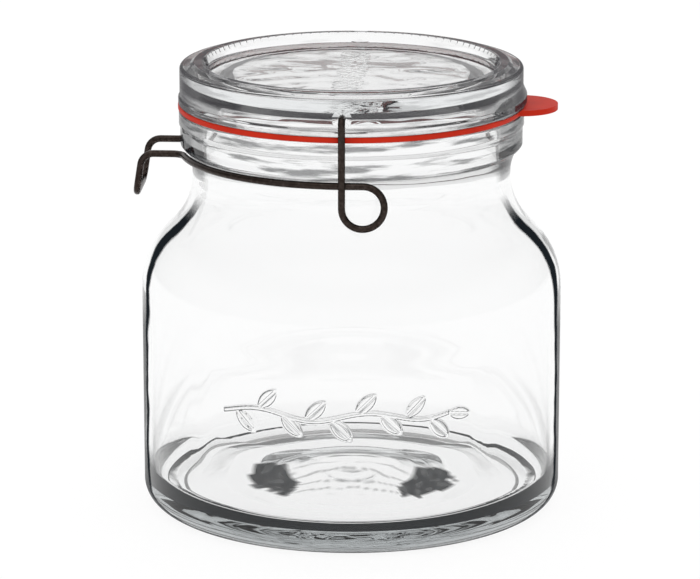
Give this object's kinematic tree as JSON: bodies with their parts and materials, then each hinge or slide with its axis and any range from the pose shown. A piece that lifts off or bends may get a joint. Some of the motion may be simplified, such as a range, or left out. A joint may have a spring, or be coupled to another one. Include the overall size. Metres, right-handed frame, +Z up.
{
  "type": "clip-top storage jar with lid",
  "caption": "Empty clear glass storage jar with rounded shoulder, glass lid, orange-red rubber sealing ring with pull tab, and a dark wire bail that swings over the lid to clamp it.",
  "frame": {"origin": "centre of the foot, on the surface that the jar stands on", "axes": "+Z up along the jar's axis; +X towards the pull tab of the rubber ring, -X towards the handle of the wire bail; the two hinge sockets of the lid lie on the Y axis"},
  "size_m": [0.1469, 0.145, 0.1553],
  "materials": {
    "clear_glass": "clear pressed glass, polished",
    "lid_glass": "clear pressed glass, polished",
    "sealing_rubber": "matt orange-red rubber",
    "dark_wire": "dark bronzed steel wire, smooth satin"
  },
  "bodies": {
    "jar": {"jar": "clear_glass", "gasket": "sealing_rubber", "lid": "lid_glass"},
    "bail": {"bail": "dark_wire"}
  },
  "joints": [
    {"name": "bail_swing", "type": "hinge", "parent": "jar", "child": "bail", "pos_m": [0, 0, 0.147], "axis": [0, 1, 0], "range_deg": [0, 200]}
  ]
}
